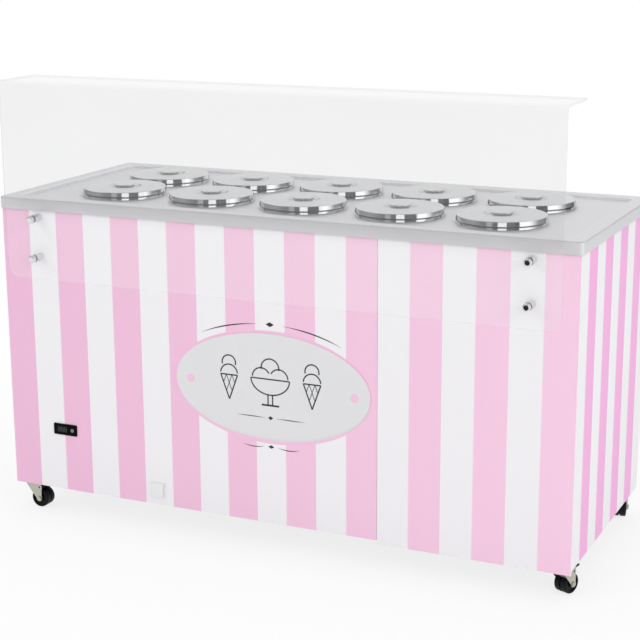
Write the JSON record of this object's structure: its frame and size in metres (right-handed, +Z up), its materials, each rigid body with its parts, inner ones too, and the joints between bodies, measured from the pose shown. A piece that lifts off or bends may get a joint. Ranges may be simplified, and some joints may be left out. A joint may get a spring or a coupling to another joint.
{
  "type": "gelato display cabinet",
  "caption": "Striped gelato display cabinet on casters, with round lidded pots in a steel worktop, a clear sneeze guard with a shelf, an oval sign and a small thermostat.",
  "frame": {"origin": "on the floor, in the middle of the whole object's box", "axes": "+X to the right along the front, -Y out of the striped front towards the customer, +Z up"},
  "size_m": [1.53, 0.667, 1.143],
  "materials": {
    "striped_panel": "gloss",
    "worktop_steel": "satin",
    "pot_steel": "satin",
    "fitting_steel": "polished",
    "cap_steel": "polished",
    "frame_metal": "satin",
    "clear_acrylic": "gloss",
    "sign_face": "satin",
    "white_plastic": "gloss",
    "grey_plastic": "matte",
    "black_plastic": "matte",
    "display_window": "gloss",
    "unit_aluminium": "satin",
    "compressor_black": "satin",
    "foam": "matte",
    "caster_steel": "satin",
    "wheel_rubber": "matte"
  },
  "bodies": {
    "cabinet": {"base_pan": "frame_metal", "corner_posts": "frame_metal", "front_panel": "striped_panel", "front_service_panel": "striped_panel", "left_side_panel": "striped_panel", "right_side_panel": "striped_panel", "rear_panel": "white_plastic", "rear_grille": "frame_metal", "rear_screws": "fitting_steel", "worktop": "worktop_steel", "tank": "pot_steel", "evaporator": "unit_aluminium", "insulation": "foam", "compressor": "compressor_black", "condenser": "unit_aluminium", "fan_shroud": "frame_metal", "fan_motor": "frame_metal", "power_inlet": "black_plastic", "thermostat_case": "black_plastic", "thermostat_display": "display_window", "drain_escutcheon": "white_plastic", "drain_pipe": "grey_plastic", "sneeze_guard": "clear_acrylic", "standoff_barrels": "fitting_steel", "standoff_caps": "cap_steel", "sign_plaque": "sign_face", "caster_plates": "caster_steel"},
    "fan_blade": {"fan_blade": "unit_aluminium"},
    "thermostat_button": {"thermostat_button": "grey_plastic"},
    "drain_flap": {"drain_flap": "white_plastic"},
    "pot_front_1": {"pot_front_1": "pot_steel"},
    "lid_front_1": {"lid_front_1": "pot_steel"},
    "pot_front_2": {"pot_front_2": "pot_steel"},
    "lid_front_2": {"lid_front_2": "pot_steel"},
    "pot_front_3": {"pot_front_3": "pot_steel"},
    "lid_front_3": {"lid_front_3": "pot_steel"},
    "pot_front_4": {"pot_front_4": "pot_steel"},
    "lid_front_4": {"lid_front_4": "pot_steel"},
    "pot_front_5": {"pot_front_5": "pot_steel"},
    "lid_front_5": {"lid_front_5": "pot_steel"},
    "pot_rear_1": {"pot_rear_1": "pot_steel"},
    "lid_rear_1": {"lid_rear_1": "pot_steel"},
    "pot_rear_2": {"pot_rear_2": "pot_steel"},
    "lid_rear_2": {"lid_rear_2": "pot_steel"},
    "pot_rear_3": {"pot_rear_3": "pot_steel"},
    "lid_rear_3": {"lid_rear_3": "pot_steel"},
    "pot_rear_4": {"pot_rear_4": "pot_steel"},
    "lid_rear_4": {"lid_rear_4": "pot_steel"},
    "pot_rear_5": {"pot_rear_5": "pot_steel"},
    "lid_rear_5": {"lid_rear_5": "pot_steel"},
    "caster_fork_front_left": {"caster_fork_front_left": "caster_steel"},
    "caster_wheel_front_left": {"caster_wheel_front_left": "wheel_rubber"},
    "brake_pedal_front_left": {"brake_pedal_front_left": "black_plastic"},
    "caster_fork_front_right": {"caster_fork_front_right": "caster_steel"},
    "caster_wheel_front_right": {"caster_wheel_front_right": "wheel_rubber"},
    "brake_pedal_front_right": {"brake_pedal_front_right": "black_plastic"},
    "caster_fork_rear_left": {"caster_fork_rear_left": "caster_steel"},
    "caster_wheel_rear_left": {"caster_wheel_rear_left": "wheel_rubber"},
    "caster_fork_rear_right": {"caster_fork_rear_right": "caster_steel"},
    "caster_wheel_rear_right": {"caster_wheel_rear_right": "wheel_rubber"}
  },
  "joints": [
    {"name": "thermostat_button_press", "type": "slide", "parent": "cabinet", "child": "thermostat_button", "axis": [0, 1, 0], "range_m": [0, 0.0008], "stiffness_N_per_m": 800},
    {"name": "drain_flap_hinge", "type": "hinge", "parent": "cabinet", "child": "drain_flap", "pos_m": [-0.3245, -0.2956, 0.131], "axis": [-1, 0, 0], "range_deg": [0, 100]},
    {"name": "fan_spin", "type": "hinge", "parent": "cabinet", "child": "fan_blade", "pos_m": [0.42, 0.2305, 0.197], "axis": [0, 1, 0], "continuous": true},
    {"name": "pot_front_1_lift", "type": "slide", "parent": "cabinet", "child": "pot_front_1", "axis": [0, 0, 1], "range_m": [0, 0.21]},
    {"name": "lid_front_1_lift", "type": "slide", "parent": "pot_front_1", "child": "lid_front_1", "axis": [0, 0, 1], "range_m": [0, 0.06]},
    {"name": "pot_front_2_lift", "type": "slide", "parent": "cabinet", "child": "pot_front_2", "axis": [0, 0, 1], "range_m": [0, 0.21]},
    {"name": "lid_front_2_lift", "type": "slide", "parent": "pot_front_2", "child": "lid_front_2", "axis": [0, 0, 1], "range_m": [0, 0.06]},
    {"name": "pot_front_3_lift", "type": "slide", "parent": "cabinet", "child": "pot_front_3", "axis": [0, 0, 1], "range_m": [0, 0.21]},
    {"name": "lid_front_3_lift", "type": "slide", "parent": "pot_front_3", "child": "lid_front_3", "axis": [0, 0, 1], "range_m": [0, 0.06]},
    {"name": "pot_front_4_lift", "type": "slide", "parent": "cabinet", "child": "pot_front_4", "axis": [0, 0, 1], "range_m": [0, 0.21]},
    {"name": "lid_front_4_lift", "type": "slide", "parent": "pot_front_4", "child": "lid_front_4", "axis": [0, 0, 1], "range_m": [0, 0.06]},
    {"name": "pot_front_5_lift", "type": "slide", "parent": "cabinet", "child": "pot_front_5", "axis": [0, 0, 1], "range_m": [0, 0.21]},
    {"name": "lid_front_5_lift", "type": "slide", "parent": "pot_front_5", "child": "lid_front_5", "axis": [0, 0, 1], "range_m": [0, 0.06]},
    {"name": "pot_rear_1_lift", "type": "slide", "parent": "cabinet", "child": "pot_rear_1", "axis": [0, 0, 1], "range_m": [0, 0.21]},
    {"name": "lid_rear_1_lift", "type": "slide", "parent": "pot_rear_1", "child": "lid_rear_1", "axis": [0, 0, 1], "range_m": [0, 0.15]},
    {"name": "pot_rear_2_lift", "type": "slide", "parent": "cabinet", "child": "pot_rear_2", "axis": [0, 0, 1], "range_m": [0, 0.21]},
    {"name": "lid_rear_2_lift", "type": "slide", "parent": "pot_rear_2", "child": "lid_rear_2", "axis": [0, 0, 1], "range_m": [0, 0.15]},
    {"name": "pot_rear_3_lift", "type": "slide", "parent": "cabinet", "child": "pot_rear_3", "axis": [0, 0, 1], "range_m": [0, 0.21]},
    {"name": "lid_rear_3_lift", "type": "slide", "parent": "pot_rear_3", "child": "lid_rear_3", "axis": [0, 0, 1], "range_m": [0, 0.15]},
    {"name": "pot_rear_4_lift", "type": "slide", "parent": "cabinet", "child": "pot_rear_4", "axis": [0, 0, 1], "range_m": [0, 0.21]},
    {"name": "lid_rear_4_lift", "type": "slide", "parent": "pot_rear_4", "child": "lid_rear_4", "axis": [0, 0, 1], "range_m": [0, 0.15]},
    {"name": "pot_rear_5_lift", "type": "slide", "parent": "cabinet", "child": "pot_rear_5", "axis": [0, 0, 1], "range_m": [0, 0.21]},
    {"name": "lid_rear_5_lift", "type": "slide", "parent": "pot_rear_5", "child": "lid_rear_5", "axis": [0, 0, 1], "range_m": [0, 0.15]},
    {"name": "caster_front_left_swivel", "type": "hinge", "parent": "cabinet", "child": "caster_fork_front_left", "pos_m": [-0.727, -0.2475, 0.065], "axis": [0, 0, 1], "continuous": true},
    {"name": "caster_front_left_roll", "type": "hinge", "parent": "caster_fork_front_left", "child": "caster_wheel_front_left", "pos_m": [-0.709, -0.2475, 0.025], "axis": [0, 1, 0], "continuous": true},
    {"name": "brake_front_left_press", "type": "hinge", "parent": "caster_fork_front_left", "child": "brake_pedal_front_left", "pos_m": [-0.707, -0.2475, 0.0565], "axis": [0, 1, 0], "range_deg": [0, 12]},
    {"name": "caster_front_right_swivel", "type": "hinge", "parent": "cabinet", "child": "caster_fork_front_right", "pos_m": [0.727, -0.2475, 0.065], "axis": [0, 0, 1], "continuous": true},
    {"name": "caster_front_right_roll", "type": "hinge", "parent": "caster_fork_front_right", "child": "caster_wheel_front_right", "pos_m": [0.73374, -0.23081, 0.025], "axis": [-0.9272, 0.3746, 0], "continuous": true},
    {"name": "brake_front_right_press", "type": "hinge", "parent": "caster_fork_front_right", "child": "brake_pedal_front_right", "pos_m": [0.73449, -0.22896, 0.0565], "axis": [-0.9272, 0.3746, 0], "range_deg": [0, 12]},
    {"name": "caster_rear_left_swivel", "type": "hinge", "parent": "cabinet", "child": "caster_fork_rear_left", "pos_m": [-0.727, 0.2845, 0.065], "axis": [0, 0, 1], "continuous": true},
    {"name": "caster_rear_left_roll", "type": "hinge", "parent": "caster_fork_rear_left", "child": "caster_wheel_rear_left", "pos_m": [-0.736, 0.30009, 0.025], "axis": [-0.866, -0.5, 0], "continuous": true},
    {"name": "caster_rear_right_swivel", "type": "hinge", "parent": "cabinet", "child": "caster_fork_rear_right", "pos_m": [0.727, 0.2845, 0.065], "axis": [0, 0, 1], "continuous": true},
    {"name": "caster_rear_right_roll", "type": "hinge", "parent": "caster_fork_rear_right", "child": "caster_wheel_rear_right", "pos_m": [0.72387, 0.30223, 0.025], "axis": [-0.9848, -0.1736, 0], "continuous": true}
  ]
}
